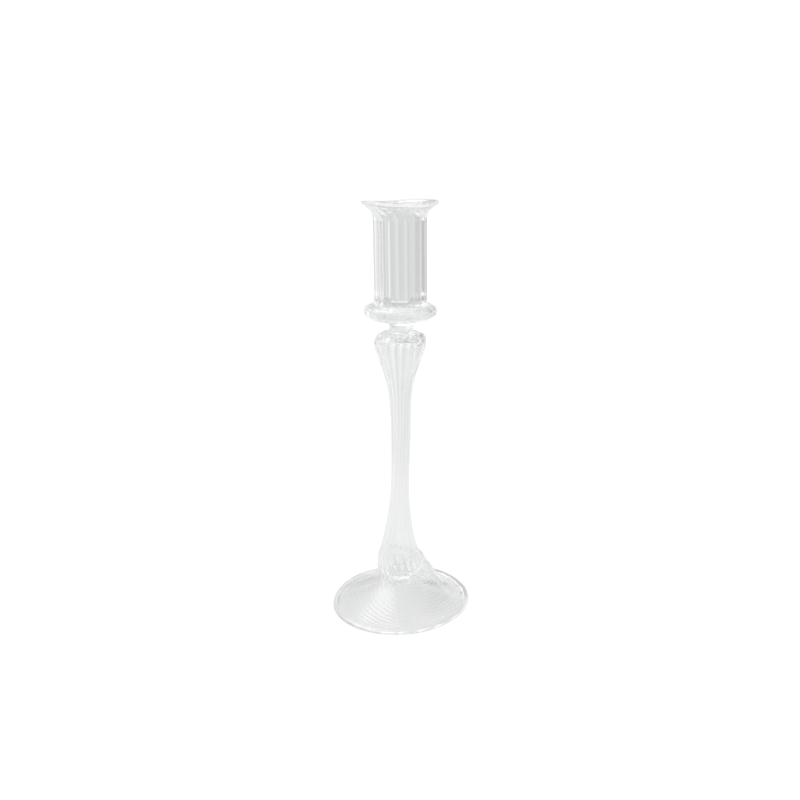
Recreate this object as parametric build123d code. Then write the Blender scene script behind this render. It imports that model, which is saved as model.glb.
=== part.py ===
from build123d import *
import math
import os

os.makedirs("parts", exist_ok=True)

# Hand-blown glass candlestick for one taper candle, in millimetres, +Z up.
# The origin is on the table, under the middle of the foot. Five pieces of glass stand on each
# other, and each one is hot-sealed to the next over a round, level face.

# Foot: a shallow, hollow dome with a rolled rim and a thick crown.
FOOT_RADIUS = 39.2
FOOT_HEIGHT = 17.5
FOOT_WALL = 2.0
FOOT_CROWN_THICKNESS = 3.6
FOOT_RIM_RADIUS = 1.5      # round of the rolled rim's section
FOOT_REST_WIDTH = 1.4      # flat that the rim stands on
FOOT_SWEEP = 1.8           # how quickly the dome flattens towards the rim

# Foot seal: a pinched bit of glass between the foot and the stem.
FOOT_SEAL_RADIUS = 6.2     # at both of its faces
FOOT_SEAL_PINCH = 0.5      # how far its side draws in
FOOT_SEAL_HEIGHT = 2.0

# Stem: a closed hollow baluster. Heights are from its lower face.
STEM_LENGTH = 138.3
STEM_WALL = 1.7
STEM_END_THICKNESS = 2.4   # glass under and over the hollow
STEM_BULB_RADIUS = 12.9    # widest part near the foot
STEM_BULB_HEIGHT = 4.8
STEM_WAIST_RADIUS = 5.0    # narrowest part
STEM_WAIST_HEIGHT = 59.0
STEM_KNOP_RADIUS = 13.85   # widest part near the cup
STEM_KNOP_DROP = 6.6       # from the upper face down to the knop's widest part
# Points between waist and bulb, and between waist and knop: how far along, and how much of the widening.
BULB_SWELL = ((0.26, 0.05), (0.53, 0.27), (0.76, 0.58))
KNOP_SWELL = ((0.30, 0.03), (0.57, 0.12), (0.72, 0.29), (0.88, 0.74))

# Neck: a solid, waisted bit of plain glass between the knop and the cup.
NECK_HEIGHT = 5.1
NECK_LOWER_RADIUS = 8.6
NECK_WAIST_RADIUS = 6.6
NECK_UPPER_RADIUS = 8.0
NECK_WAIST_SHARE = 0.55    # height of the waist as a share of the neck

# Candle cup: bore for a 22 mm taper candle, drip ring below, flared lip above.
CANDLE_DIAMETER = 22.0
CANDLE_CLEARANCE = 0.5     # all round the candle
CUP_WALL = 2.55
CUP_HEIGHT = 62.1
CUP_FLOOR = 2.5
RING_OVERHANG = 5.35       # how far the drip ring stands out from the wall
RING_SECTION_RADIUS = 4.9  # round of the drip ring's section
RING_WALL = 1.8
RING_RISE = 0.7            # the underside rises by this from the neck to the ring
LIP_OVERHANG = 5.9         # how far the lip stands out from the wall
LIP_BEAD_RADIUS = 1.2      # fire-polished edge
FLUTE_COUNT = 20
FLUTE_CUTTER_RADIUS = 1.1
FLUTE_DEPTH = 0.55

# Heights of the sealed faces above the table.
seal_bottom = FOOT_HEIGHT
stem_bottom = seal_bottom + FOOT_SEAL_HEIGHT
neck_bottom = stem_bottom + STEM_LENGTH
cup_bottom = neck_bottom + NECK_HEIGHT

# Radii and heights in the cup that follow from the sizes above. Heights are from the cup's underside.
bore_radius = CANDLE_DIAMETER / 2 + CANDLE_CLEARANCE
cup_outer_radius = bore_radius + CUP_WALL
ring_radius = cup_outer_radius + RING_OVERHANG
ring_middle = ring_radius - RING_SECTION_RADIUS
ring_height = RING_RISE + RING_SECTION_RADIUS
ring_top = ring_height + RING_SECTION_RADIUS
lip_middle = cup_outer_radius + LIP_OVERHANG - LIP_BEAD_RADIUS
flare_underside = CUP_HEIGHT - 2 * LIP_BEAD_RADIUS
flare_start = flare_underside - (lip_middle - cup_outer_radius)


def turned(section, bottom=0):
    """The solid that a half section, drawn as radius and height, makes when it is turned about Z."""
    return Pos(0, 0, bottom) * revolve(Plane.XZ * section, axis=Axis.Z)


def dome_point(share, inset):
    """A point on the foot's dome. share runs from 0 at the crown to 1 at the rim; inset is square to it."""
    run = FOOT_RADIUS - FOOT_RIM_RADIUS - FOOT_SEAL_RADIUS
    edge_height = FOOT_RIM_RADIUS + FOOT_WALL / 2
    drop = FOOT_HEIGHT - edge_height
    r = FOOT_SEAL_RADIUS + run * share
    z = edge_height + drop * (1 - share) ** FOOT_SWEEP
    slope = FOOT_SWEEP * drop / run * (1 - share) ** (FOOT_SWEEP - 1)
    across = math.hypot(1, slope)
    return (r - inset * slope / across, z - inset / across)


def make_foot():
    """The dome's sheet with its thick crown, and the rolled rim with the flat that it stands on."""
    shares = (0, 0.2, 0.45, 0.7, 1)
    outside = [dome_point(share, 0) for share in shares]
    inside = [dome_point(share, FOOT_WALL) for share in shares[1:]]
    crown_top = (0, FOOT_HEIGHT)
    crown_underside = (0, FOOT_HEIGHT - FOOT_CROWN_THICKNESS)
    sheet = make_face([
        Line(crown_top, outside[0]),
        Spline(outside),
        Line(outside[-1], inside[-1]),
        Spline([*reversed(inside), crown_underside], tangents=[(-1, 0), (-1, 0)]),
        Line(crown_underside, crown_top),
    ])
    rim_lift = math.sqrt(FOOT_RIM_RADIUS**2 - (FOOT_REST_WIDTH / 2) ** 2)
    rim_middle = FOOT_RADIUS - FOOT_RIM_RADIUS
    rim = Pos(rim_middle, rim_lift) * Circle(FOOT_RIM_RADIUS)
    below_table = Pos(rim_middle, -FOOT_RIM_RADIUS) * Rectangle(4 * FOOT_RIM_RADIUS, 2 * FOOT_RIM_RADIUS)
    return turned(sheet + rim - below_table)


def waisted(lower_radius, waist_radius, upper_radius, height, waist_height):
    """The half section of a solid disc whose side draws in between its two level faces."""
    side = Spline((lower_radius, 0), (waist_radius, waist_height), (upper_radius, height))
    return make_face([side, Polyline(side @ 1, (0, height), (0, 0), side @ 0)])


def make_foot_seal():
    """A short disc, pinched in at half its height."""
    section = waisted(
        FOOT_SEAL_RADIUS,
        FOOT_SEAL_RADIUS - FOOT_SEAL_PINCH,
        FOOT_SEAL_RADIUS,
        FOOT_SEAL_HEIGHT,
        FOOT_SEAL_HEIGHT / 2,
    )
    return turned(section, seal_bottom)


def baluster_points(inset):
    """The stem's side from its bulb to its knop, drawn in by inset towards the hollow."""
    knop_height = STEM_LENGTH - STEM_KNOP_DROP
    bulb = [
        (
            STEM_WAIST_RADIUS + (STEM_BULB_RADIUS - STEM_WAIST_RADIUS) * swell - inset,
            STEM_WAIST_HEIGHT + (STEM_BULB_HEIGHT - STEM_WAIST_HEIGHT) * along,
        )
        for along, swell in reversed(BULB_SWELL)
    ]
    knop = [
        (
            STEM_WAIST_RADIUS + (STEM_KNOP_RADIUS - STEM_WAIST_RADIUS) * swell - inset,
            STEM_WAIST_HEIGHT + (knop_height - STEM_WAIST_HEIGHT) * along,
        )
        for along, swell in KNOP_SWELL
    ]
    return [
        (STEM_BULB_RADIUS - inset, STEM_BULB_HEIGHT),
        *bulb,
        (STEM_WAIST_RADIUS - inset, STEM_WAIST_HEIGHT),
        *knop,
        (STEM_KNOP_RADIUS - inset, knop_height),
    ]


def baluster(inset, end_inset):
    """A half section of the stem's outside, or of its hollow when it is drawn in. Its ends are elliptical."""
    side = Spline(baluster_points(inset), tangents=[(0, 1), (0, 1)])
    bulb_end = EllipticalCenterArc(
        (FOOT_SEAL_RADIUS, STEM_BULB_HEIGHT),
        STEM_BULB_RADIUS - inset - FOOT_SEAL_RADIUS,
        STEM_BULB_HEIGHT - end_inset,
        start_angle=270,
        arc_size=90,
    )
    knop_end = EllipticalCenterArc(
        (NECK_LOWER_RADIUS, STEM_LENGTH - STEM_KNOP_DROP),
        STEM_KNOP_RADIUS - inset - NECK_LOWER_RADIUS,
        STEM_KNOP_DROP - end_inset,
        start_angle=0,
        arc_size=90,
    )
    bottom, top = end_inset, STEM_LENGTH - end_inset
    ends = Polyline((NECK_LOWER_RADIUS, top), (0, top), (0, bottom), (FOOT_SEAL_RADIUS, bottom))
    return make_face([bulb_end, side, knop_end, ends])


def make_stem():
    """The baluster, closed at both ends, less its sealed hollow."""
    outside = baluster(0, 0)
    hollow = baluster(STEM_WALL, STEM_END_THICKNESS)
    return turned(outside - hollow, stem_bottom)


def make_neck():
    """The waisted bit between the knop and the cup."""
    section = waisted(
        NECK_LOWER_RADIUS,
        NECK_WAIST_RADIUS,
        NECK_UPPER_RADIUS,
        NECK_HEIGHT,
        NECK_HEIGHT * NECK_WAIST_SHARE,
    )
    return turned(section, neck_bottom)


def cup_section():
    """The cup's glass: floor, blown-out drip ring, straight wall and flared lip."""
    groove_radius = RING_SECTION_RADIUS - RING_WALL
    groove_top = ring_height + groove_radius
    flare_inside = lip_middle - bore_radius
    return make_face([
        Line((bore_radius, groove_top), (ring_middle, groove_top)),
        ThreePointArc(
            (ring_middle, groove_top),
            (ring_middle + groove_radius, ring_height),
            (ring_middle, CUP_FLOOR),
        ),
        Polyline(
            (ring_middle, CUP_FLOOR),
            (0, CUP_FLOOR),
            (0, 0),
            (NECK_UPPER_RADIUS, 0),
            (ring_middle, RING_RISE),
        ),
        ThreePointArc((ring_middle, RING_RISE), (ring_radius, ring_height), (ring_middle, ring_top)),
        Polyline(
            (ring_middle, ring_top),
            (cup_outer_radius, ring_top + ring_middle - cup_outer_radius),
            (cup_outer_radius, flare_start),
        ),
        CenterArc((lip_middle, flare_start), lip_middle - cup_outer_radius, 180, -90),
        CenterArc((lip_middle, CUP_HEIGHT - LIP_BEAD_RADIUS), LIP_BEAD_RADIUS, -90, 180),
        CenterArc((lip_middle, CUP_HEIGHT - flare_inside), flare_inside, 90, 90),
        Line((bore_radius, CUP_HEIGHT - flare_inside), (bore_radius, groove_top)),
    ])


def make_candle_cup():
    """The cup with its flutes, which run out into the drip ring below and the flare of the lip above."""
    flute_length = flare_start - ring_top
    cutter = Cylinder(FLUTE_CUTTER_RADIUS, flute_length)
    cutter += Pos(0, 0, flute_length / 2) * Sphere(FLUTE_CUTTER_RADIUS)
    cutter_middle = Pos(
        cup_outer_radius + FLUTE_CUTTER_RADIUS - FLUTE_DEPTH, 0, (ring_top + flare_start) / 2
    )
    flutes = [Rot(0, 0, 360 / FLUTE_COUNT * i) * cutter_middle * cutter for i in range(FLUTE_COUNT)]
    return Pos(0, 0, cup_bottom) * (turned(cup_section()) - flutes)


pieces = {
    "foot": make_foot(),
    "foot_seal": make_foot_seal(),
    "stem": make_stem(),
    "neck": make_neck(),
    "candle_cup": make_candle_cup(),
}

for name, solid in pieces.items():
    export_step(solid, f"parts/{name}.step")
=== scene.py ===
import math

import bpy
import numpy as np
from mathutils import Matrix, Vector


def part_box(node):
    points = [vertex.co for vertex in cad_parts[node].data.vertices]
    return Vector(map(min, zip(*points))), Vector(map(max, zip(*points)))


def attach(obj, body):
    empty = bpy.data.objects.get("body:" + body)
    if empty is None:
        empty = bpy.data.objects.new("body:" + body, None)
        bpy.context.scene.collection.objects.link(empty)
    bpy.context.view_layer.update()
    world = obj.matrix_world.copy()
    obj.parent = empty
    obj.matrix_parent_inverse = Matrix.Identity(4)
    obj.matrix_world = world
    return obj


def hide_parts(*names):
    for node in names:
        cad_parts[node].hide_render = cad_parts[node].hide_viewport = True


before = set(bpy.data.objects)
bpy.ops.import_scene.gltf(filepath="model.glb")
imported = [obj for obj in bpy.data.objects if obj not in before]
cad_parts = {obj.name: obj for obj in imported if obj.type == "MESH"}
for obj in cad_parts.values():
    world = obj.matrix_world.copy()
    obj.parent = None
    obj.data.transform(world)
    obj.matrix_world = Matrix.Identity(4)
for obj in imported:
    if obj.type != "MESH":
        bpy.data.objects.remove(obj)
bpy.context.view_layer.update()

# A hand-blown, optic-ribbed glass candlestick of five pieces of glass. Each is made of closed meshes
# spun round the Z axis from outlines, with ribs, swirl and the small faults of hand work. Only the lump
# of glass that ran down from the foot seal isn't spun.
# The listed outlines are (radius, height) in millimetres, above the table. Other lengths are in metres.
# Angles run anticlockwise from +X, seen from above, and the front is -Y.

MM = 0.001

RIBS = 20                  # ribs that the optic mould presses into the glass
SEGMENTS = 320             # steps round each spun mesh, 16 to a rib
VALLEY_CROWDING = 0.45     # how much closer together the steps are in the valleys between ribs
CURVE_STEPS = 24           # points on an arc, and from one listed point of an outline to the next
FUSE_OVERLAP = 0.02 * MM   # how deep one piece sinks into the next where they are fused
SHARP_FROM = math.radians(55)

# ---- Sizes taken from the frame ----

foot_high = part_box("foot")[1]
seal_low, seal_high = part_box("foot_seal")
stem_low, stem_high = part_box("stem")
neck_low, neck_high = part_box("neck")
cup_low, cup_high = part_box("candle_cup")

FOOT_RADIUS = foot_high.x
SEAL_RADIUS = seal_high.x
LIP_RADIUS = cup_high.x
STEM_FOOT = stem_low.z
STEM_TOP = stem_high.z


# ---- Outlines ----

def through(points):
    """A smooth line through a few (radius, height) points in millimetres, as metres."""
    p = np.array(points, float) * MM
    p = np.vstack([2 * p[0] - p[1], p, 2 * p[-1] - p[-2]])
    spans = []
    for a, b, c, d in zip(p[:-3], p[1:-2], p[2:-1], p[3:]):
        t = np.linspace(0, 1, CURVE_STEPS, endpoint=False)[:, None]
        bend, twist = 2 * a - 5 * b + 4 * c - d, 3 * b - a - 3 * c + d
        spans.append(0.5 * (2 * b + (c - a) * t + bend * t**2 + twist * t**3))
    return np.vstack([*spans, p[-2:-1]])


def arc(middle, radius, start, end):
    """Points of a round stretch, in metres. Angles are in degrees."""
    a = np.radians(np.linspace(start, end, CURVE_STEPS))
    return np.column_stack([middle[0] + radius * np.cos(a), middle[1] + radius * np.sin(a)])


def looked_up(at, along, line):
    """The line's points at the places at, where along has the places of the line's own points."""
    return np.column_stack([np.interp(at, along, line[:, k]) for k in range(2)])


def step_lengths(line):
    return np.linalg.norm(np.diff(line, axis=0), axis=1)


def paced(outline, step, bend=9):
    """The same outline with its points a step apart at most, and closer where it turns by bend degrees."""
    same_place = 1e-8
    outline = outline[np.concatenate([[True], step_lengths(outline) > same_place])]
    span = np.diff(outline, axis=0)
    heading = np.unwrap(np.arctan2(span[:, 1], span[:, 0]))
    turning = np.abs(np.gradient(heading))
    cost = np.cumsum(step_lengths(outline) / step + turning / math.radians(bend))
    cost = np.concatenate([[0], cost])
    return looked_up(np.linspace(0, cost[-1], math.ceil(cost[-1]) + 1), cost, outline)


def softened(outline, width):
    """The same outline with its corners rounded off over width."""
    half = 12
    along = np.concatenate([[0], np.cumsum(step_lengths(outline))])
    even = np.linspace(0, along[-1], math.ceil(along[-1] / (width / (2 * half))))
    line = looked_up(even, along, outline)
    before = 2 * line[0] - line[half:0:-1]
    after = 2 * line[-1] - line[-2:-2 - half:-1]
    line = np.vstack([before, line, after])
    kernel = np.hanning(2 * half + 3)[1:-1]
    return np.column_stack([np.convolve(line[:, k], kernel / kernel.sum(), mode="valid") for k in range(2)])


def offset(line, distance):
    """The line moved sideways by distance, to the left going along it."""
    heading = np.gradient(line, axis=0)
    heading /= np.linalg.norm(heading, axis=-1, keepdims=True)
    return line + distance * np.stack([-heading[..., 1], heading[..., 0]], axis=-1)


def from_axis(outline):
    """The outline carried level to the axis at both ends."""
    return np.array([[0, outline[0, 1]], *outline.tolist(), [0, outline[-1, 1]]])


def sealed(points, low, high):
    """A smooth line up the side of a piece from its lower seal to its upper one, which are at the heights
    low and high. Both ends sink a hair into the neighbours."""
    line = through(points)
    line[0, 1] = low - FUSE_OVERLAP
    line[-1, 1] = high + FUSE_OVERLAP
    return line


# ---- Smooth changes ----

def ease(x, low, high):
    """0 at low, 1 at high and smooth between them. low may be the larger."""
    t = np.clip((x - low) / (high - low), 0, 1)
    return t * t * (3 - 2 * t)


def between(x, low, full_from, full_to, high):
    """1 from full_from to full_to, falling smoothly to 0 at low and at high."""
    return ease(x, low, full_from) * ease(x, high, full_to)


def waves(angle, parts):
    """Waves round the axis, added up. A part is (height, how many go round, degrees where one crests)."""
    return sum(height * np.cos(count * (angle - math.radians(crest))) for height, count, crest in parts)


def near(angle, towards, width):
    """1 in the direction towards, falling to 0 within a few widths to either side."""
    aside = (angle - towards + math.pi) % (2 * math.pi) - math.pi
    return np.exp(-((aside / width) ** 2))


# ---- Hand work: lean and ribs ----

LEAN = [                   # (height, how far the axis leans to +X, and to +Y), in millimetres
    (0, 0.0, 0.0), (17, -0.1, 0.0), (38, -0.8, 0.2), (60, -0.2, 0.3), (100, 0.55, -0.1),
    (135, -0.05, -0.3), (160, -0.05, 0.0), (178, 0.35, 0.2), (210, -0.05, 0.3), (225, -0.1, 0.2),
]
LEAN_HEIGHTS, LEAN_X, LEAN_Y = np.array(LEAN).T * MM
RIB_UNEVENNESS = [(0.10, 3, -19.1), (0.07, 7, 0)]


def smooth_lookup(x, xs, ys):
    """Values between listed ones, rounded off so that no kink shows."""
    samples, half = 400, 20
    fine = np.linspace(xs[0], xs[-1], samples)
    rough = np.interp(fine, xs, ys)
    kernel = np.hanning(2 * half + 1)
    soft = np.convolve(np.pad(rough, half, mode="edge"), kernel / kernel.sum(), mode="valid")
    return np.interp(x, fine, soft)


def placed(r, z, angle):
    """Points from radius, height and angle, on the candlestick's own slightly wandering axis."""
    x = r * np.cos(angle) + smooth_lookup(z, LEAN_HEIGHTS, LEAN_X)
    y = r * np.sin(angle) + smooth_lookup(z, LEAN_HEIGHTS, LEAN_Y)
    return np.stack([x, y, z], axis=-1)


def rib(angle, sharpness):
    """0 on a rib's crest and -1 in the valley between two ribs. The higher sharpness is, the narrower the
    valley."""
    return -(np.sin(RIBS * angle / 2) ** 2) ** sharpness


def uneven_rib(angle, sharpness):
    """The same, but deeper in some directions than in others."""
    return rib(angle, sharpness) * (1 + waves(angle, RIB_UNEVENNESS))


# ---- Meshes ----

def spun(outline, shape):
    """(points, faces) of a closed surface. outline runs from the axis back to the axis with the glass on
    its left. shape(r, z, angle, share) gives r, z and angle for the whole grid of points; share runs from
    0 to 1 along the outline."""
    inner = outline[1:-1]
    rings = len(inner)
    even = np.arange(SEGMENTS) * 2 * math.pi / SEGMENTS
    columns = even + VALLEY_CROWDING * np.sin(RIBS * even) / RIBS
    r, angle = np.meshgrid(inner[:, 0], columns, indexing="ij")
    z = np.repeat(inner[:, 1:2], SEGMENTS, axis=1)
    share = np.repeat(np.linspace(0, 1, rings)[:, None], SEGMENTS, axis=1)
    body = placed(*shape(r, z, angle, share))
    ends = body[0].mean(axis=0), body[-1].mean(axis=0)
    points = np.vstack([ends[0], body.reshape(-1, 3), ends[1]])
    j = np.arange(SEGMENTS)
    k = (j + 1) % SEGMENTS
    first = 1 + np.arange(rings - 1)[:, None] * SEGMENTS
    sides = np.stack([first + j, first + k, first + SEGMENTS + k, first + SEGMENTS + j], axis=-1)
    top = 1 + (rings - 1) * SEGMENTS
    low_fan = np.stack([np.zeros_like(j), 1 + k, 1 + j], axis=-1)
    high_fan = np.stack([np.full_like(j, len(points) - 1), top + j, top + k], axis=-1)
    faces = sides.reshape(-1, 4).tolist() + low_fan.tolist() + high_fan.tolist()
    return points, faces


def is_fused(polygon, levels):
    """Whether a face is part of a fan that closes a piece at one of its seals' levels."""
    return len(polygon.vertices) == 3 and any(abs(polygon.center.z - z) < 2 * FUSE_OVERLAP for z in levels)


def piece(name, surfaces, node, material, fused_levels):
    """One named piece of the object, made of closed surfaces, standing for its CAD node. Its end faces at
    fused_levels, where it is one glass with the next piece, show nothing."""
    points, faces = [], []
    for p, f in surfaces:
        shift = sum(len(q) for q in points)
        points.append(p)
        faces += [tuple(i + shift for i in face) for face in f]
    mesh = bpy.data.meshes.new(name)
    mesh.from_pydata(np.vstack(points), [], faces)
    mesh.shade_smooth()
    mesh.set_sharp_from_angle(angle=SHARP_FROM)
    mesh.materials.append(material)
    mesh.materials.append(fused_glass)
    for polygon in mesh.polygons:
        if is_fused(polygon, fused_levels):
            polygon.material_index = 1
    made = bpy.data.objects.new(name, mesh)
    bpy.context.scene.collection.objects.link(made)
    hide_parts(node)
    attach(made, "root")


# ---- Materials ----

GLASS_IOR = 1.5
GLASS_TINT = (0.985, 0.99, 0.99, 1)
WAVE_SCALE = 140           # waves in the glass's skin, to a metre
WAVE_DETAIL = 1.5
WAVE_STRETCH = 0.35        # below 1, they are longer up the object than round it
WAVE_HEIGHT = 0.02 * MM
HAZE_SCALE = 60            # patches of haze, to a metre
HAZE_DETAIL = 4
HAZE_STARTS = 0.35         # the noise below which the glass is clear
HAZE_FULL = 0.75           # and above which it is as hazy as it gets


def glass(name, haze, ior=GLASS_IOR):
    """Clear glass: a smooth fire-polished skin with faint waves, and a little haze that comes and goes."""
    material = bpy.data.materials.new(name)
    material.use_nodes = True
    nodes, links = material.node_tree.nodes, material.node_tree.links
    shader = nodes["Principled BSDF"]
    shader.inputs["Base Color"].default_value = GLASS_TINT
    shader.inputs["Transmission Weight"].default_value = 1.0
    shader.inputs["IOR"].default_value = ior
    place = nodes.new("ShaderNodeTexCoord")
    stretch = nodes.new("ShaderNodeMapping")
    stretch.inputs["Scale"].default_value = (1, 1, WAVE_STRETCH)
    links.new(place.outputs["Object"], stretch.inputs["Vector"])
    ripple = nodes.new("ShaderNodeTexNoise")
    ripple.inputs["Scale"].default_value = WAVE_SCALE
    ripple.inputs["Detail"].default_value = WAVE_DETAIL
    links.new(stretch.outputs["Vector"], ripple.inputs["Vector"])
    bump = nodes.new("ShaderNodeBump")
    bump.inputs["Strength"].default_value = 1.0
    bump.inputs["Distance"].default_value = WAVE_HEIGHT
    links.new(ripple.outputs["Fac"], bump.inputs["Height"])
    links.new(bump.outputs["Normal"], shader.inputs["Normal"])
    patches = nodes.new("ShaderNodeTexNoise")
    patches.inputs["Scale"].default_value = HAZE_SCALE
    patches.inputs["Detail"].default_value = HAZE_DETAIL
    links.new(place.outputs["Object"], patches.inputs["Vector"])
    rough = nodes.new("ShaderNodeMapRange")
    rough.inputs["From Min"].default_value = HAZE_STARTS
    rough.inputs["From Max"].default_value = HAZE_FULL
    rough.inputs["To Min"].default_value = 0.0
    rough.inputs["To Max"].default_value = haze
    links.new(patches.outputs["Fac"], rough.inputs["Value"])
    links.new(rough.outputs["Result"], shader.inputs["Roughness"])
    return material


ribbed_glass = glass("ribbed_glass", haze=0.03)
plain_glass = glass("plain_glass", haze=0.02)
fused_glass = glass("fused_glass", haze=0.0, ior=1.0)


# ---- Foot: a thin swirled dome with a rolled rim ----

RIM_ROUND = 1.45 * MM      # radius of the rolled rim's section
RIM_TURN = 110             # degrees that the rim's section turns below its outermost point, and above it
RIM_SOFTNESS = 0.9 * MM    # how widely the corners between the sheet and the rim are rounded
SHEET = 1.9 * MM
SHEET_STOPS = 2.6 * RIM_ROUND          # how far inside the edge the even sheet stops
CROWN_THICKNESS = 3.6 * MM
DOME_EDGE = 2.5 * MM       # the dome's height next to the rim
DOME_SWEEP = 1.8           # how quickly the dome flattens towards the rim
SWIRL = math.radians(250)  # how far the ribs turn between the crown and the rim
SWIRL_QUICKENS = 1.15      # above 1, they turn more and more on the way out
FOOT_RIB = 0.28 * MM
FOOT_RIB_WITHIN = 0.10 * MM
FOOT_RIB_SHARPNESS = 1.2
FOOT_RIBS_START = (1.02 * SEAL_RADIUS, 1.5 * SEAL_RADIUS)
FOOT_RIBS_STOP = (0.84, 0.94)          # shares of the way from the seal to the edge
FOOT_SMALLER = 0.018       # how much smaller than the CAD's circle the foot is on average, as a share
FOOT_OUT_OF_ROUND = [(0.019, 1, -39), (0.040, 2, 44), (0.004, 3, -19.1), (0.0025, 5, -3.4)]
FOOT_OUT_OF_FLAT = [(0.25 * MM, 2, 27.8)]
FOOT_BUMP = 0.008          # a small bump in the edge, as a share of the radius
FOOT_BUMP_TOWARDS = math.radians(16)
FOOT_BUMP_WIDTH = 0.07     # radians
FOOT_STEP = 0.5 * MM       # how far apart the rings of its mesh are at most
FOOT_BEND = 7              # degrees that its outline turns from ring to ring at most


def dome_height(r):
    """The dome's upper face."""
    share = np.clip((r - SEAL_RADIUS) / (FOOT_RADIUS - RIM_ROUND - SEAL_RADIUS), 0, 1)
    return DOME_EDGE + (foot_high.z - DOME_EDGE) * (1 - share) ** DOME_SWEEP


def foot_outline():
    """From the middle of the underside, out round the rolled rim and up over the dome to its crown. The
    hollow's roof is nearly level in the middle and turns down into the underside of the sheet."""
    samples, keep_every = 90, 6
    run = np.linspace(SEAL_RADIUS, FOOT_RADIUS - SHEET_STOPS, samples)
    top = np.column_stack([run, dome_height(run)])
    roof = foot_high.z - CROWN_THICKNESS
    level = [(0.1 * SEAL_RADIUS, roof), (0.7 * SEAL_RADIUS, roof - 0.05 * MM)]
    under = offset(top, -SHEET)
    under = under[(under[:, 0] > SEAL_RADIUS) & (under[:, 1] < roof - 0.5 * MM)]
    inside = through(np.vstack([level, under[::keep_every], under[-1:]]) / MM)
    bead = arc((FOOT_RADIUS - RIM_ROUND, RIM_ROUND), RIM_ROUND, -RIM_TURN, RIM_TURN)
    face = softened(np.vstack([inside, bead, top[::-1]]), RIM_SOFTNESS)
    crown = (SEAL_RADIUS, foot_high.z + FUSE_OVERLAP)
    return from_axis(paced(np.vstack([face[:-1], crown]), FOOT_STEP, FOOT_BEND))


def foot_shape(r, z, angle, share):
    """Swirled ribs on both faces, an outline that isn't quite round, and a sheet that isn't quite flat."""
    out = np.clip((r - SEAL_RADIUS) / (FOOT_RADIUS - SEAL_RADIUS), 0, 1)
    on_top = z > dome_height(r) - 0.5 * SHEET
    height = np.where(on_top, FOOT_RIB, -FOOT_RIB_WITHIN)
    height = height * ease(r, *FOOT_RIBS_START) * (1 - ease(out, *FOOT_RIBS_STOP))
    z = z + height * uneven_rib(angle, FOOT_RIB_SHARPNESS)
    angle = angle + SWIRL * out**SWIRL_QUICKENS
    wider = waves(angle, FOOT_OUT_OF_ROUND) - FOOT_SMALLER
    wider = wider + FOOT_BUMP * near(angle, FOOT_BUMP_TOWARDS, FOOT_BUMP_WIDTH)
    z = z + waves(angle, FOOT_OUT_OF_FLAT) * np.sin(math.pi * out)
    return r * (1 + wider * out**2), z, angle


# ---- Foot seal: the pinched bit of glass under the stem ----

SEAL_SIDE = [(6.2, 17.5), (5.85, 17.9), (5.7, 18.5), (5.85, 19.1), (6.2, 19.5)]
SEAL_BEAD = 0.18 * MM
SEAL_BEAD_SHARPNESS = 1.0
SEAL_STEP = 0.2 * MM


def seal_outline():
    """A short disc whose side draws in."""
    return from_axis(paced(sealed(SEAL_SIDE, seal_low.z, seal_high.z), SEAL_STEP))


def seal_shape(r, z, angle, share):
    """The ends of the ribs run over it as beads."""
    return r + SEAL_BEAD * rib(angle, SEAL_BEAD_SHARPNESS) * np.sin(math.pi * share), z, angle


# ---- Lump: a thin skirt of glass that ran down one side of the stem on to the foot ----

LUMP_TOWARDS = math.radians(46)
LUMP_SPREAD_HIGH = math.radians(66)    # half its width, as an angle, where it leaves the stem
LUMP_SPREAD_LOW = math.radians(92)     # and where it lies on the foot
LUMP_SHEET = 1.2 * MM
LUMP_EDGE_SHARE = 0.2      # how thick it still is at its edges, as a share
LUMP_FULLNESS = 1.3        # the higher this is, the sooner the middle's outline turns into the sides'
LUMP_RIB = 0.4 * MM
LUMP_RIBS_START = (20 * MM, 24 * MM)   # heights between which the stem's ribs appear on it
LUMP_ROWS = 56
LUMP_COLUMNS = 72
LUMP_MIDDLE = [
    (10.6, 29.4), (12.7, 28.4), (15.0, 27.3), (16.7, 25.7), (17.4, 23.7), (18.9, 21.3), (20.7, 18.8),
    (22.6, 15.6), (24.6, 12.3), (26.6, 9.4), (28.6, 7.0), (30.6, 5.2), (32.0, 3.0),
]
LUMP_SIDE = [
    (10.4, 29.5), (11.5, 26.5), (11.7, 23.5), (10.8, 21.2), (8.5, 19.9), (6.0, 18.6), (8.0, 15.3),
    (12.0, 12.1), (15.5, 9.8), (19.0, 7.7), (22.0, 6.0), (24.5, 4.8), (26.0, 4.0),
]


def skin_faces():
    """The faces of the lump's outer and inner skins and of the four strips that join their edges."""
    o = np.arange(LUMP_ROWS * LUMP_COLUMNS).reshape(LUMP_ROWS, LUMP_COLUMNS)
    i = o + LUMP_ROWS * LUMP_COLUMNS
    quads = [
        (o[:-1, :-1], o[1:, :-1], o[1:, 1:], o[:-1, 1:]),
        (i[:-1, :-1], i[:-1, 1:], i[1:, 1:], i[1:, :-1]),
        (o[0, :-1], o[0, 1:], i[0, 1:], i[0, :-1]),
        (o[-1, 1:], o[-1, :-1], i[-1, :-1], i[-1, 1:]),
        (o[1:, 0], o[:-1, 0], i[:-1, 0], i[1:, 0]),
        (o[:-1, -1], o[1:, -1], i[1:, -1], i[:-1, -1]),
    ]
    return [face for quad in quads for face in np.stack([q.ravel() for q in quad], axis=-1).tolist()]


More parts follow.
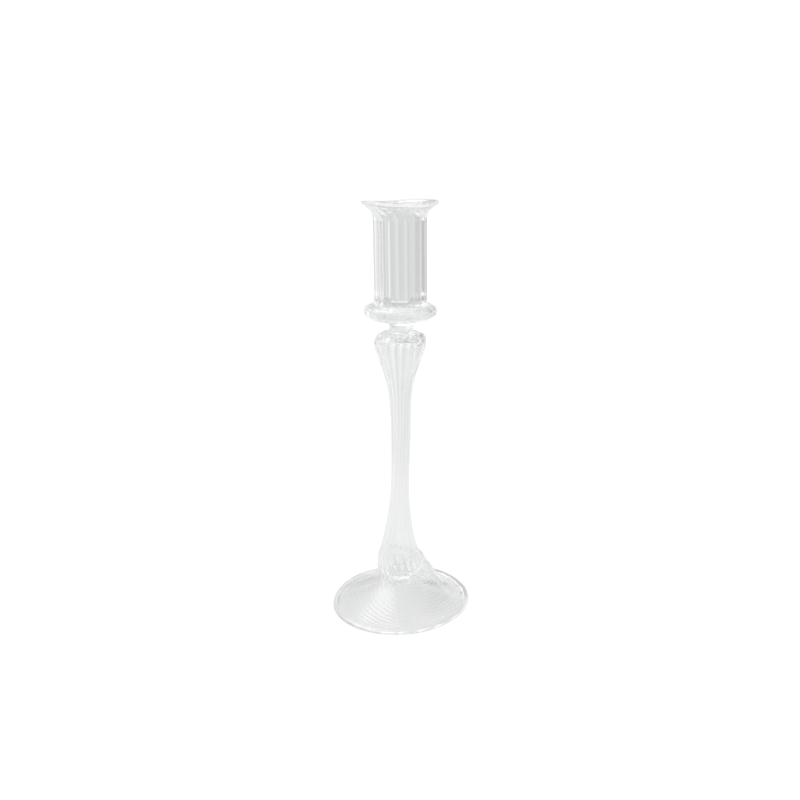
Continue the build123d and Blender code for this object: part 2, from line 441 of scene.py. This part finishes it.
def lump():
    """(points, faces) of the skirt. Its edges are sunk in the glass of the stem and the foot."""
    down = np.linspace(0, 1, LUMP_ROWS)
    across = np.linspace(-1, 1, LUMP_COLUMNS)
    fine = [through(points) for points in (LUMP_MIDDLE, LUMP_SIDE)]
    middle, side = [looked_up(down, np.linspace(0, 1, len(line)), line)[:, None] for line in fine]
    weight = (np.cos(across * math.pi / 2) ** LUMP_FULLNESS)[None, :, None]
    outer = middle * weight + side * (1 - weight)
    swell = (np.sin(math.pi * down)[:, None, None] * weight) ** 0.5
    inner = offset(outer, -LUMP_SHEET * (LUMP_EDGE_SHARE + (1 - LUMP_EDGE_SHARE) * swell))
    spread = LUMP_SPREAD_HIGH + (LUMP_SPREAD_LOW - LUMP_SPREAD_HIGH) * down[:, None]
    angle = LUMP_TOWARDS + spread * across[None, :]
    ribbed = LUMP_RIB * rib(angle, STEM_RIB_SHARPNESS) * ease(outer[..., 1], *LUMP_RIBS_START)
    outside = placed(outer[..., 0] + ribbed, outer[..., 1], angle)
    inside = placed(inner[..., 0], inner[..., 1], angle)
    return np.vstack([outside.reshape(-1, 3), inside.reshape(-1, 3)]), skin_faces()


# ---- Stem: a closed hollow baluster ----

STEM_WALL = 1.5 * MM
BULB_END = [(6.2, 19.5), (9.0, 19.6), (11.4, 20.2), (12.6, 21.4)]
STEM_SIDE = [
    (12.5, 23.2), (12.35, 26.5), (11.65, 30.0), (10.3, 34.0), (9.15, 38.4), (8.2, 42.5), (7.0, 49.5),
    (6.0, 56.8), (5.3, 65.0), (4.95, 78.0), (5.15, 93.0), (5.4, 107.0), (5.85, 119.8), (6.6, 126.5),
    (7.7, 131.5), (9.2, 136.4), (10.9, 141.4), (12.5, 146.0), (13.6, 149.5), (13.8, 152.0),
]
KNOP_END = [(13.35, 153.6), (12.4, 155.3), (10.8, 156.6), (9.0, 157.4), (7.4, 157.8)]
HOLLOW_FLOOR = [(0.3, 21.0), (6, 21.05), (8.8, 21.25), (10.3, 21.9)]
HOLLOW_ROOF = [(11.9, 153.2), (11.1, 154.4), (9.8, 155.4), (8.0, 156.0), (5.0, 156.3), (0.3, 156.35)]

STEM_STEP = 1.2 * MM
HOLLOW_STEP = 1.7 * MM
HOLLOW_KEEPS_EVERY = 40    # of the points of the wall's smooth line

STEM_RIB_SHARPNESS = 1.9
HOLLOW_RIB_SHARPNESS = 1.1
STEM_RIB = 0.045           # the ribs' depth, as a share of the radius
KNOP_RIB = 0.25 * MM       # how much deeper they are on the knop
BULB_RIB = 0.10 * MM       # and on the bulb
HOLLOW_RIB = 0.12          # how deep they are in the hollow, as a share of their depth outside
KNOP_SWELLS = (140 * MM, 152 * MM)
BULB_NARROWS = (20 * MM, 32 * MM)
STEM_TURNS = [(22, 30, 140), (5, 150, 158), (-8, 19, 30)]  # (degrees, from height, to height)

CREASE_TOWARDS = math.radians(-103)
CREASE_WIDTH = 0.06        # radians
CREASE_DEPTH = 0.55 * MM
CREASE_HEIGHTS = (22 * MM, 27 * MM, 34 * MM, 44 * MM)
SHOULDER_FULLER = 0.9 * MM
SHOULDER_HEIGHTS = (152 * MM, 155 * MM, 156.5 * MM, STEM_TOP)


def stem_outline():
    """Up the outside from the lower seal to the upper one."""
    return from_axis(paced(sealed([*BULB_END, *STEM_SIDE, *KNOP_END], STEM_FOOT, STEM_TOP), STEM_STEP))


def stem_hollow_outline():
    """Down the wall of the hollow from its upper pole to its lower one, so that the glass is outside it."""
    side = offset(through(STEM_SIDE), STEM_WALL)[::HOLLOW_KEEPS_EVERY] / MM
    return from_axis(paced(through([*HOLLOW_FLOOR, *side, *HOLLOW_ROOF]), HOLLOW_STEP)[::-1])


def stem_rib_height(r, z):
    """Ribs are deepest on the knop's shoulder and fade where the stem is sealed at both ends."""
    depth = STEM_RIB * r + KNOP_RIB * ease(z, *KNOP_SWELLS) + BULB_RIB * (1 - ease(z, *BULB_NARROWS))
    return depth * between(z, STEM_FOOT, STEM_FOOT + 0.8 * MM, STEM_TOP - 1.0 * MM, STEM_TOP)


def stem_turn(z):
    """The ribs wind slowly up the stem and gather with a quick turn on the knop's shoulder."""
    return np.radians(sum(turn * ease(z / MM, low, high) for turn, low, high in STEM_TURNS))


def stem_shape(r, z, angle, share):
    """Ribs, a shoulder that is fuller on the right, and a crease low on the front."""
    crease = near(angle, CREASE_TOWARDS, CREASE_WIDTH) * between(z, *CREASE_HEIGHTS)
    shoulder = (0.5 + 0.5 * np.cos(angle)) ** 2 * between(z, *SHOULDER_HEIGHTS)
    r = r - CREASE_DEPTH * crease + SHOULDER_FULLER * shoulder
    return r + stem_rib_height(r, z) * uneven_rib(angle, STEM_RIB_SHARPNESS), z, angle + stem_turn(z)


def stem_hollow_shape(r, z, angle, share):
    """The hollow's wall follows the ribs only faintly."""
    ribbed = HOLLOW_RIB * stem_rib_height(r, z) * uneven_rib(angle, HOLLOW_RIB_SHARPNESS)
    return r + ribbed, z, angle + stem_turn(z)


# ---- Neck: plain solid glass, a little to one side ----

NECK_SIDE = [(7.4, 157.8), (6.75, 158.5), (6.5, 159.5), (6.45, 160.6), (6.6, 161.8), (7.6, 162.9)]
NECK_FULLER = 0.12         # how much wider it is on the right than it would be, as a share
NECK_STEP = 0.3 * MM


def neck_outline():
    """A short waisted disc."""
    return from_axis(paced(sealed(NECK_SIDE, neck_low.z, neck_high.z), NECK_STEP))


def neck_shape(r, z, angle, share):
    """Fuller on the right than on the left."""
    return r * (1 + NECK_FULLER * np.cos(angle) * np.sin(math.pi * share)), z, angle


# ---- Candle cup: fluted wall, blown-out drip ring, flared lip ----

CUP_OUTSIDE = [
    (7.6, 162.9), (10.9, 163.7), (14.8, 164.7), (17.6, 166.2), (18.95, 167.8), (19.1, 169.2), (18.5, 170.5),
    (17.0, 171.6), (15.2, 172.3), (14.15, 173.2), (13.8, 174.8), (13.75, 178.5), (13.75, 190), (13.75, 205),
    (13.8, 214.5), (14.15, 217.9), (15.4, 220.2), (17.0, 221.6), (18.2, 222.7),
]
CUP_INSIDE = [
    (17.9, 224.3), (16.6, 223.3), (14.9, 221.9), (13.3, 220.3), (12.2, 218.4), (11.65, 216.0), (11.5, 212),
    (11.5, 195), (11.5, 180), (11.5, 176.0), (11.8, 174.2), (12.7, 172.7), (14.4, 171.5), (16.2, 170.6),
    (17.2, 169.6), (17.4, 168.6), (16.9, 167.4), (15.4, 166.4), (12, 165.6), (6, 165.3), (0.3, 165.3),
]
LIP_BEAD = 0.85 * MM       # radius of the lip's section
LIP_BEAD_HEIGHT = 224.1 * MM
LIP_BEAD_TURN = (-50, 125)             # degrees, from below its outermost point to over its top
CUP_STEP = 0.95 * MM

FLUTE = 0.42 * MM          # how deep the valleys between the flutes are on the wall
FLUTE_LESS_ON_RING = 0.10 * MM
FLUTE_LESS_ON_FLARE = 0.22 * MM
FLUTE_WITHIN = 0.05 * MM
FLUTE_MORE_IN_RING = 0.05 * MM
FLUTE_LOST_AT_LIP = 0.75   # as a share
FLUTE_SHARPNESS = 2.2
FLUTE_SHARPNESS_WITHIN = 1.2
FLUTES_TURNED = math.radians(6)
RING_HEIGHTS = (177 * MM, 170 * MM)    # from where the wall is plain down to where the ring is full
FLARE_HEIGHTS = (214 * MM, 219 * MM)
LIP_HEIGHTS = (216 * MM, 223 * MM)     # between these the glass starts to lean over and to wave
LIP_EDGE_HEIGHTS = (222.2 * MM, 223.6 * MM)
FLOOR_HEIGHTS = (165.3 * MM, 167 * MM)
UNDERSIDE_RADII = (8 * MM, 15 * MM)    # the flutes fade towards the middle of the cup's underside
FLOOR_RADII = (7 * MM, 11 * MM)        # and of its floor
LIP_LEAN = math.radians(18)
LIP_WAVES = [(0.6 * MM, 2, 32), (0.12 * MM, 5, 0)]
LIP_LOWER = 0.35 * MM
LIP_SMALLER = 0.2 * MM
LIP_OUT_OF_ROUND = [(0.2 * MM, 2, -22.9)]


def cup_outline():
    """Up the outside, round the bead of the lip and down the inside to the floor."""
    outside = through(CUP_OUTSIDE)
    outside[0, 1] = cup_low.z - FUSE_OVERLAP
    bead = arc((LIP_RADIUS - LIP_BEAD, LIP_BEAD_HEIGHT), LIP_BEAD, *LIP_BEAD_TURN)
    return from_axis(paced(np.vstack([outside, bead, through(CUP_INSIDE)]), CUP_STEP))


cup_line = cup_outline()
OUTSIDE_SHARE = np.argmax(cup_line[:, 1]) / (len(cup_line) - 1)    # up to the top of the lip


def cup_shape(r, z, angle, share):
    """Straight flutes that run on as lobes round the drip ring and lean over in the lip, which waves."""
    ring = ease(z, *RING_HEIGHTS)
    outer = FLUTE - FLUTE_LESS_ON_RING * ring - FLUTE_LESS_ON_FLARE * ease(z, *FLARE_HEIGHTS)
    outer = outer * ease(r, *UNDERSIDE_RADII) * uneven_rib(angle, FLUTE_SHARPNESS)
    inner = FLUTE_WITHIN + FLUTE_MORE_IN_RING * ring
    inner = inner * ease(r, *FLOOR_RADII) * ease(z, *FLOOR_HEIGHTS)
    inner = inner * uneven_rib(angle, FLUTE_SHARPNESS_WITHIN)
    fluted = np.where(share < OUTSIDE_SHARE, outer, inner)
    fluted = fluted * (1 - FLUTE_LOST_AT_LIP * ease(z, *LIP_EDGE_HEIGHTS))
    lip = ease(z, *LIP_HEIGHTS)
    angle = angle + FLUTES_TURNED - LIP_LEAN * lip
    r = r + fluted - (LIP_SMALLER + waves(angle, LIP_OUT_OF_ROUND)) * lip
    z = z + (waves(angle, LIP_WAVES) - LIP_LOWER) * lip
    return r, z, angle


# ---- The object's pieces ----

piece(
    "foot_glass", [spun(foot_outline(), foot_shape)], "foot", ribbed_glass, [foot_high.z],
)
piece(
    "foot_seal_glass", [spun(seal_outline(), seal_shape), lump()], "foot_seal", plain_glass,
    [seal_low.z, seal_high.z],
)
piece(
    "stem_glass", [spun(stem_outline(), stem_shape), spun(stem_hollow_outline(), stem_hollow_shape)],
    "stem", ribbed_glass, [STEM_FOOT, STEM_TOP],
)
piece(
    "neck_glass", [spun(neck_outline(), neck_shape)], "neck", plain_glass,
    [neck_low.z, neck_high.z],
)
piece(
    "candle_cup_glass", [spun(cup_line, cup_shape)], "candle_cup", ribbed_glass, [cup_low.z],
)


# ---- Studio ----

# Brightness, where 1 is white. The lens sees the table and what stands round it evenly white.
TABLE_SEEN = 0.90
SURROUNDINGS_SEEN = 1.05

# Rays that the glass bends see these instead. Those of the table are painted light and shade in its glow.
PAPER_BRIGHT = 0.80
PAPER_MIDDLE = 0.53
PAPER_DARK = 0.38
# Painted shade: the table's glow is lower under the foot, as if the glass kept the light off it.
TABLE_SHADE_UNDER_FOOT = 0.69
TABLE_SHADE = 0.48         # a ring under the foot's edge, as if in its contact shade
TABLE_NEAR = 0.74
TABLE_EDGE = 0.92          # painted light: a bright band in the table's glow, far out
CEILING = 1.0
SOFT_BOX = 2.5
FLAG = 0.45
LEFT_FLAG = 0.60

TABLE_HALF_SIDE = 8.0
TABLE_GAP = 0.02 * MM      # how far under the foot the table lies
TABLE_GREY = (0.15, 0.15, 0.15, 1)
TABLE_ROUGHNESS = 0.8

PAPER_STEPS = [            # (share of the way from the bright quarters to the dark ones, brightness)
    (0.12, PAPER_BRIGHT), (0.40, PAPER_MIDDLE), (0.62, PAPER_MIDDLE), (0.86, PAPER_DARK),
]
PAPER_ENDS_AT = (0.02, 0.35)           # heights, as the sine of the angle above level
BRIGHT_AND_DARK = [        # (towards, cosines from the middle at its edge and inside it, brightness)
    ((0.62, 0.40, 0.68), 0.88, 0.95, FLAG),
    ((-0.35, 0.85, 0.40), 0.90, 0.97, LEFT_FLAG),
    ((-0.45, 0.15, 0.88), 0.87, 0.98, SOFT_BOX),
]


def range_node(nodes, low, high, at_high=1.0):
    """A node that turns low..high smoothly into 0..at_high."""
    node = nodes.new("ShaderNodeMapRange")
    node.interpolation_type = "SMOOTHSTEP"
    node.inputs["From Min"].default_value = low
    node.inputs["From Max"].default_value = high
    node.inputs["To Min"].default_value = 0.0
    node.inputs["To Max"].default_value = at_high
    return node


def mixed(nodes, links, share, low, high):
    """low where share is 0, high where it is 1. Either may be a number or a socket."""
    node = nodes.new("ShaderNodeMix")
    node.data_type = "FLOAT"
    links.new(share, node.inputs[0])
    for socket, value in ((node.inputs[2], low), (node.inputs[3], high)):
        if isinstance(value, float):
            socket.default_value = value
        else:
            links.new(value, socket)
    return node.outputs[0]


def seen_directly(nodes, links, through_glass, direct):
    """A strength that is direct where the lens sees it, and through_glass where glass bends the view."""
    path = nodes.new("ShaderNodeLightPath")
    return mixed(nodes, links, path.outputs["Is Camera Ray"], through_glass, direct)


def paper_tone(nodes, links, direction):
    """The brightness of the paper that stands round the table: brighter and darker quarters take turns,
    and straight ahead, behind and to either side it is grey. The product of a level direction's X and Y is
    -0.5 in the middle of the bright quarters and 0.5 in the middle of the dark ones."""
    split = nodes.new("ShaderNodeSeparateXYZ")
    links.new(direction, split.inputs["Vector"])
    product = nodes.new("ShaderNodeMath")
    product.operation = "MULTIPLY"
    links.new(split.outputs["X"], product.inputs[0])
    links.new(split.outputs["Y"], product.inputs[1])
    share = nodes.new("ShaderNodeMapRange")
    share.inputs["From Min"].default_value = -0.5
    share.inputs["From Max"].default_value = 0.5
    links.new(product.outputs["Value"], share.inputs["Value"])
    tone = nodes.new("ShaderNodeFloatCurve")
    tone.inputs["Factor"].default_value = 1.0
    curve = tone.mapping.curves[0]
    curve.points[0].location = (0.0, PAPER_BRIGHT)
    curve.points[-1].location = (1.0, PAPER_DARK)
    for x, y in PAPER_STEPS:
        curve.points.new(x, y)
    tone.mapping.update()
    links.new(share.outputs["Result"], tone.inputs["Value"])
    return tone.outputs["Value"]


def make_floor():
    """A large pale table top, lit from within so that hardly a shadow shows. Its glow is painted light and
    shade: darker under the foot and in a ring under its edge, with a bright band far out, and beyond that
    it takes on the tone of the paper round it, but only the glass shows that: the lens sees it evenly
    white."""
    mesh = bpy.data.meshes.new("floor")
    side = TABLE_HALF_SIDE
    corners = [(-side, -side, 0), (side, -side, 0), (side, side, 0), (-side, side, 0)]
    mesh.from_pydata(corners, [], [(0, 1, 2, 3)])
    floor = bpy.data.objects.new("floor", mesh)
    floor.location.z = -TABLE_GAP
    bpy.context.scene.collection.objects.link(floor)
    material = bpy.data.materials.new("pale_table")
    material.use_nodes = True
    nodes, links = material.node_tree.nodes, material.node_tree.links
    shader = nodes["Principled BSDF"]
    shader.inputs["Base Color"].default_value = TABLE_GREY
    shader.inputs["Roughness"].default_value = TABLE_ROUGHNESS
    shader.inputs["Specular IOR Level"].default_value = 0.0
    shader.inputs["Emission Color"].default_value = (1, 1, 1, 1)
    place = nodes.new("ShaderNodeTexCoord")
    distance = nodes.new("ShaderNodeVectorMath")
    distance.operation = "LENGTH"
    links.new(place.outputs["Object"], distance.inputs[0])
    direction = nodes.new("ShaderNodeVectorMath")
    direction.operation = "NORMALIZE"
    links.new(place.outputs["Object"], direction.inputs[0])
    tone = paper_tone(nodes, links, direction.outputs["Vector"])
    stages = (             # going out, painted shade and light in the glow: (from, to, how fully the next brightness takes over, brightness)
        (FOOT_RADIUS - 2.2 * MM, FOOT_RADIUS - 0.7 * MM, 1.0, TABLE_SHADE),
        (FOOT_RADIUS + 0.8 * MM, FOOT_RADIUS + 2.3 * MM, 1.0, TABLE_NEAR),
        (0.05, 0.30, 0.40, tone),
        (0.40, 0.60, 0.25, tone),
        (0.68, 0.84, 1.0, TABLE_EDGE),
        (0.93, 1.06, 1.0, tone),
    )
    strength = TABLE_SHADE_UNDER_FOOT
    for start, end, full, further in stages:
        share = range_node(nodes, start, end, full)
        links.new(distance.outputs["Value"], share.inputs["Value"])
        strength = mixed(nodes, links, share.outputs["Result"], strength, further)
    links.new(seen_directly(nodes, links, strength, TABLE_SEEN), shader.inputs["Emission Strength"])
    mesh.materials.append(material)


def make_world():
    """Paper all round, a ceiling with a soft box, and two darker flags."""
    world = bpy.data.worlds.new("studio")
    bpy.context.scene.world = world
    world.use_nodes = True
    nodes, links = world.node_tree.nodes, world.node_tree.links
    background = nodes["Background"]
    background.inputs["Color"].default_value = (1, 1, 1, 1)
    place = nodes.new("ShaderNodeTexCoord")
    split = nodes.new("ShaderNodeSeparateXYZ")
    links.new(place.outputs["Generated"], split.inputs["Vector"])
    above = range_node(nodes, *PAPER_ENDS_AT)
    links.new(split.outputs["Z"], above.inputs["Value"])
    tone = paper_tone(nodes, links, place.outputs["Generated"])
    strength = mixed(nodes, links, above.outputs["Result"], tone, CEILING)
    for towards, edge, inside, brightness in BRIGHT_AND_DARK:
        closeness = nodes.new("ShaderNodeVectorMath")
        closeness.operation = "DOT_PRODUCT"
        closeness.inputs[1].default_value = Vector(towards).normalized()
        links.new(place.outputs["Generated"], closeness.inputs[0])
        share = range_node(nodes, edge, inside)
        links.new(closeness.outputs["Value"], share.inputs["Value"])
        strength = mixed(nodes, links, share.outputs["Result"], strength, brightness)
    links.new(seen_directly(nodes, links, strength, SURROUNDINGS_SEEN), background.inputs["Strength"])


# ---- Camera ----

CAMERA_BACK = 443.9 * MM
CAMERA_UP = 250.2 * MM
CAMERA_PITCH = 16.34       # degrees that it looks down
CAMERA_LENS = 38.64        # focal length in millimetres, on a sensor 36 mm wide
SENSOR_WIDTH = 36
LIGHT_BOUNCES = 128


def make_camera():
    """Where the photographer stood: a little above the candlestick's top, looking down at its foot."""
    data = bpy.data.cameras.new("camera")
    data.sensor_width = SENSOR_WIDTH
    data.lens = CAMERA_LENS
    data.clip_start = 10 * MM
    camera = bpy.data.objects.new("camera", data)
    camera.location = (0.0, -CAMERA_BACK, CAMERA_UP)
    camera.rotation_euler = (math.radians(90 - CAMERA_PITCH), 0, 0)
    bpy.context.scene.collection.objects.link(camera)
    bpy.context.scene.camera = camera


def set_light_paths():
    """Clear glass needs long paths, or its folds go black."""
    scene = bpy.context.scene
    scene.view_settings.view_transform = "Standard"
    cycles = scene.cycles
    cycles.max_bounces = LIGHT_BOUNCES
    cycles.transmission_bounces = LIGHT_BOUNCES
    cycles.glossy_bounces = LIGHT_BOUNCES
    cycles.min_light_bounces = LIGHT_BOUNCES
    cycles.diffuse_bounces = 3
    cycles.use_denoising = True
    cycles.denoising_input_passes = "RGB"


make_floor()
make_world()
make_camera()
set_light_paths()
